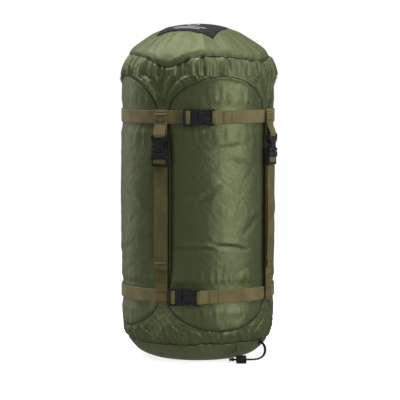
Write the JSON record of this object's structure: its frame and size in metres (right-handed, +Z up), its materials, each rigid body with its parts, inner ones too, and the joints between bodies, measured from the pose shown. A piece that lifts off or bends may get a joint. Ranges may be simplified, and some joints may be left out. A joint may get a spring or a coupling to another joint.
{
  "type": "compression sack",
  "caption": "Stuffed cylindrical fabric compression sack with webbing belts and upright straps, each closed by a side-release buckle, and a drawstring with a cord lock.",
  "frame": {"origin": "centre of the flat of the base, where the sack stands on the floor", "axes": "+Z up along the sack to the top end, +Y to the back, -Y to the front with the belt buckles"},
  "size_m": [0.2432, 0.2512, 0.516],
  "materials": {
    "load_textile": "soft",
    "panel_fabric": "satin",
    "lattice_fabric": "satin",
    "label_fabric": "matt",
    "cord": "braided",
    "cord_collar": "stitched",
    "spring_steel": "drawn",
    "cord_lock_plastic": "satin",
    "buckle_plastic": "satin",
    "webbing": "woven"
  },
  "bodies": {
    "sack": {"packed_load": "load_textile", "lattice_fabric": "lattice_fabric", "side_panel_1": "panel_fabric", "side_panel_2": "panel_fabric", "side_panel_3": "panel_fabric", "side_panel_4": "panel_fabric", "base_end_panel": "lattice_fabric", "lower_belt": "webbing", "lower_belt_tail": "webbing", "lower_belt_plug_frame": "buckle_plastic", "pull_strap_1": "webbing", "pull_strap_2": "webbing", "pull_strap_3": "webbing", "pull_strap_4": "webbing", "drawstring_back": "cord", "drawstring_front": "cord", "drawstring_knot": "cord", "drawstring_eyelet": "cord_collar", "cord_lock_body": "cord_lock_plastic", "cord_lock_spring": "spring_steel"},
    "top_end": {"top_end_panel": "panel_fabric", "label_patch": "label_fabric", "upper_belt": "webbing", "upper_belt_tail": "webbing", "upper_belt_plug_frame": "buckle_plastic", "anchor_strap_1": "webbing", "anchor_strap_2": "webbing", "anchor_strap_3": "webbing", "anchor_strap_4": "webbing", "strap_socket_1": "buckle_plastic", "strap_socket_2": "buckle_plastic", "strap_socket_3": "buckle_plastic", "strap_socket_4": "buckle_plastic"},
    "strap_plug_1": {"strap_plug_frame_1": "buckle_plastic", "strap_tail_1": "webbing"},
    "strap_1_latch_right": {"strap_latch_right_1": "buckle_plastic"},
    "strap_1_latch_left": {"strap_latch_left_1": "buckle_plastic"},
    "strap_plug_2": {"strap_plug_frame_2": "buckle_plastic", "strap_tail_2": "webbing"},
    "strap_2_latch_right": {"strap_latch_right_2": "buckle_plastic"},
    "strap_2_latch_left": {"strap_latch_left_2": "buckle_plastic"},
    "strap_plug_3": {"strap_plug_frame_3": "buckle_plastic", "strap_tail_3": "webbing"},
    "strap_3_latch_right": {"strap_latch_right_3": "buckle_plastic"},
    "strap_3_latch_left": {"strap_latch_left_3": "buckle_plastic"},
    "strap_plug_4": {"strap_plug_frame_4": "buckle_plastic", "strap_tail_4": "webbing"},
    "strap_4_latch_right": {"strap_latch_right_4": "buckle_plastic"},
    "strap_4_latch_left": {"strap_latch_left_4": "buckle_plastic"},
    "upper_belt_socket_body": {"upper_belt_socket": "buckle_plastic", "upper_belt_fold": "webbing"},
    "upper_belt_latch_right": {"upper_belt_latch_right": "buckle_plastic"},
    "upper_belt_latch_left": {"upper_belt_latch_left": "buckle_plastic"},
    "lower_belt_socket_body": {"lower_belt_socket": "buckle_plastic", "lower_belt_fold": "webbing"},
    "lower_belt_latch_right": {"lower_belt_latch_right": "buckle_plastic"},
    "lower_belt_latch_left": {"lower_belt_latch_left": "buckle_plastic"},
    "cord_lock_plunger": {"cord_lock_plunger": "cord_lock_plastic"}
  },
  "joints": [
    {"name": "compress", "type": "slide", "parent": "sack", "child": "top_end", "axis": [0, 0, -1], "range_m": [0, 0.1], "stiffness_N_per_m": 600, "springref_m": -0.02, "deforming": ["packed_load", "lattice_fabric", "side_panel_1", "side_panel_2", "side_panel_3", "side_panel_4", "pull_strap_1", "pull_strap_2", "pull_strap_3", "pull_strap_4"]},
    {"name": "strap_release_1", "type": "slide", "parent": "top_end", "child": "strap_plug_1", "axis": [0, 0, -1], "range_m": [0, 0.026]},
    {"name": "strap_1_squeeze_right", "type": "hinge", "parent": "strap_plug_1", "child": "strap_1_latch_right", "pos_m": [-0.05043, -0.11616, 0.3202], "axis": [-0.454, -0.891, 0], "range_deg": [0, 12], "stiffness_Nm_per_rad": 0.4},
    {"name": "strap_1_squeeze_left", "type": "hinge", "parent": "strap_plug_1", "child": "strap_1_latch_left", "pos_m": [-0.06433, -0.10908, 0.3202], "axis": [0.454, 0.891, 0], "range_deg": [0, 12], "stiffness_Nm_per_rad": 0.4},
    {"name": "strap_release_2", "type": "slide", "parent": "top_end", "child": "strap_plug_2", "axis": [0, 0, -1], "range_m": [0, 0.026]},
    {"name": "strap_2_squeeze_right", "type": "hinge", "parent": "strap_plug_2", "child": "strap_2_latch_right", "pos_m": [0.11616, -0.05043, 0.3202], "axis": [0.891, -0.454, 0], "range_deg": [0, 12], "stiffness_Nm_per_rad": 0.4},
    {"name": "strap_2_squeeze_left", "type": "hinge", "parent": "strap_plug_2", "child": "strap_2_latch_left", "pos_m": [0.10908, -0.06433, 0.3202], "axis": [-0.891, 0.454, 0], "range_deg": [0, 12], "stiffness_Nm_per_rad": 0.4},
    {"name": "strap_release_3", "type": "slide", "parent": "top_end", "child": "strap_plug_3", "axis": [0, 0, -1], "range_m": [0, 0.026]},
    {"name": "strap_3_squeeze_right", "type": "hinge", "parent": "strap_plug_3", "child": "strap_3_latch_right", "pos_m": [0.05043, 0.11616, 0.3202], "axis": [0.454, 0.891, 0], "range_deg": [0, 12], "stiffness_Nm_per_rad": 0.4},
    {"name": "strap_3_squeeze_left", "type": "hinge", "parent": "strap_plug_3", "child": "strap_3_latch_left", "pos_m": [0.06433, 0.10908, 0.3202], "axis": [-0.454, -0.891, 0], "range_deg": [0, 12], "stiffness_Nm_per_rad": 0.4},
    {"name": "strap_release_4", "type": "slide", "parent": "top_end", "child": "strap_plug_4", "axis": [0, 0, -1], "range_m": [0, 0.026]},
    {"name": "strap_4_squeeze_right", "type": "hinge", "parent": "strap_plug_4", "child": "strap_4_latch_right", "pos_m": [-0.11616, 0.05043, 0.3202], "axis": [-0.891, 0.454, 0], "range_deg": [0, 12], "stiffness_Nm_per_rad": 0.4},
    {"name": "strap_4_squeeze_left", "type": "hinge", "parent": "strap_plug_4", "child": "strap_4_latch_left", "pos_m": [-0.10908, 0.06433, 0.3202], "axis": [0.891, -0.454, 0], "range_deg": [0, 12], "stiffness_Nm_per_rad": 0.4},
    {"name": "upper_belt_release", "type": "slide", "parent": "top_end", "child": "upper_belt_socket_body", "axis": [0.9999, 0.0122, 0], "range_m": [0, 0.025]},
    {"name": "upper_belt_squeeze_right", "type": "hinge", "parent": "top_end", "child": "upper_belt_latch_right", "pos_m": [-0.00329, -0.12385, 0.3677], "axis": [0.0122, -0.9999, 0], "range_deg": [0, 12], "stiffness_Nm_per_rad": 0.4},
    {"name": "upper_belt_squeeze_left", "type": "hinge", "parent": "top_end", "child": "upper_belt_latch_left", "pos_m": [-0.00329, -0.12385, 0.3833], "axis": [-0.0122, 0.9999, 0], "range_deg": [0, 12], "stiffness_Nm_per_rad": 0.4},
    {"name": "lower_belt_release", "type": "slide", "parent": "sack", "child": "lower_belt_socket_body", "axis": [0.9854, -0.1702, 0], "range_m": [0, 0.025]},
    {"name": "lower_belt_squeeze_right", "type": "hinge", "parent": "sack", "child": "lower_belt_latch_right", "pos_m": [-0.0258, -0.12118, 0.0972], "axis": [-0.1702, -0.9854, 0], "range_deg": [0, 12], "stiffness_Nm_per_rad": 0.4},
    {"name": "lower_belt_squeeze_left", "type": "hinge", "parent": "sack", "child": "lower_belt_latch_left", "pos_m": [-0.0258, -0.12118, 0.1128], "axis": [0.1702, 0.9854, 0], "range_deg": [0, 12], "stiffness_Nm_per_rad": 0.4},
    {"name": "cord_lock_press", "type": "slide", "parent": "sack", "child": "cord_lock_plunger", "axis": [0, 1, 0], "range_m": [0, 0.003], "stiffness_N_per_m": 800, "springref_m": -0.002, "deforming": ["cord_lock_spring"]}
  ],
  "couplings": [
    {"joint": "strap_1_squeeze_left", "follows": "strap_1_squeeze_right", "ratio": 1},
    {"joint": "strap_2_squeeze_left", "follows": "strap_2_squeeze_right", "ratio": 1},
    {"joint": "strap_3_squeeze_left", "follows": "strap_3_squeeze_right", "ratio": 1},
    {"joint": "strap_4_squeeze_left", "follows": "strap_4_squeeze_right", "ratio": 1},
    {"joint": "upper_belt_squeeze_left", "follows": "upper_belt_squeeze_right", "ratio": 1},
    {"joint": "lower_belt_squeeze_left", "follows": "lower_belt_squeeze_right", "ratio": 1}
  ]
}
